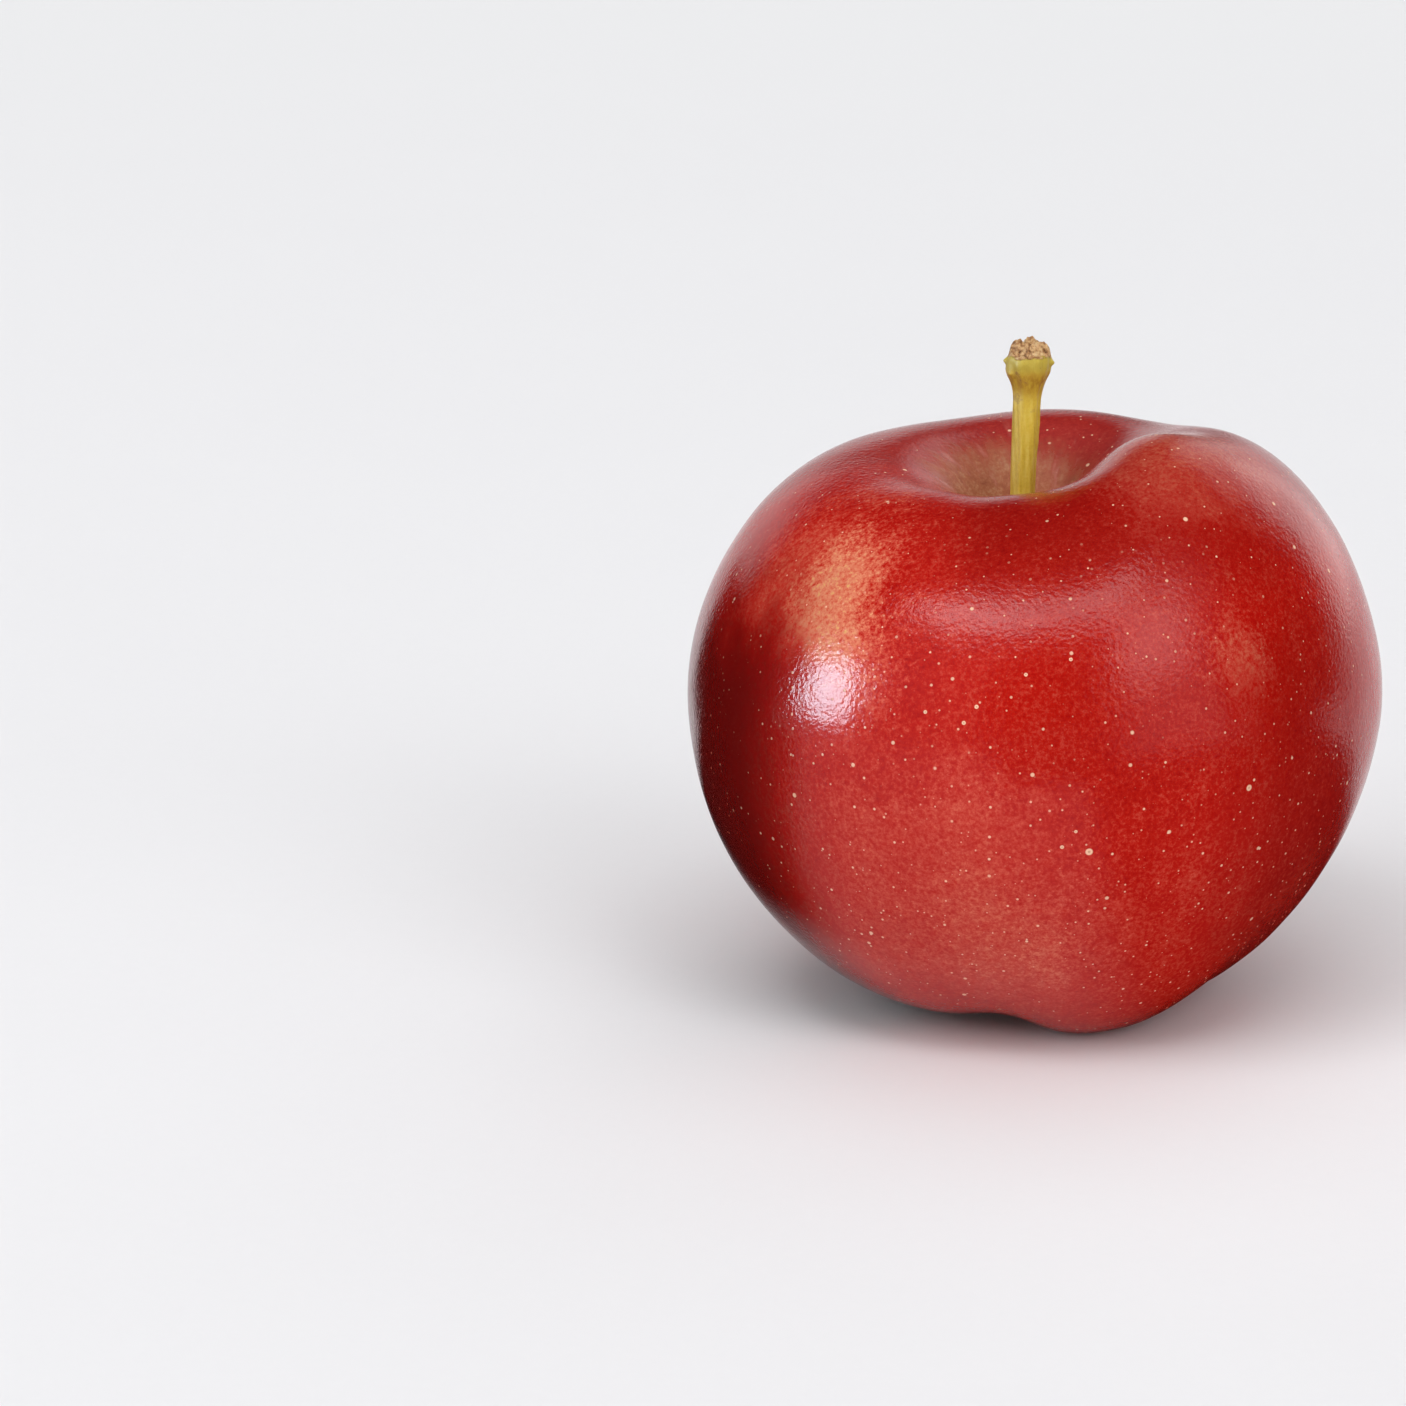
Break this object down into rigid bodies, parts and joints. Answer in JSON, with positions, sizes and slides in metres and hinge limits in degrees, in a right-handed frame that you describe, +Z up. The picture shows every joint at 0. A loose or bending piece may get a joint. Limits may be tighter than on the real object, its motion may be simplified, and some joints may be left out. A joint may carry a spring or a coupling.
{
  "type": "red apple",
  "caption": "Ripe red apple with an uneven shoulder, a leaning stem and a dried calyx, standing on its lobed base.",
  "frame": {"origin": "middle of the bounding box in plan, on the plane that the apple rests on", "axes": "+Z up along the core, from the calyx to the stem; -Y towards the front, where the dip in the shoulder and the crease between two feet are; +X to the right seen from the front"},
  "size_m": [0.0748, 0.0748, 0.0721],
  "materials": {
    "red_skin": "smooth waxy skin, glossy, with pale dots",
    "green_stem": "yellow-green bark, satin, brown and broken at the tip",
    "dried_calyx": "dry, downy and dull"
  },
  "bodies": {
    "root": {"fruit": "red_skin", "stem": "green_stem", "sepal_1": "dried_calyx", "sepal_2": "dried_calyx", "sepal_3": "dried_calyx", "sepal_4": "dried_calyx", "sepal_5": "dried_calyx", "dried_stamens": "dried_calyx"}
  },
  "joints": []
}
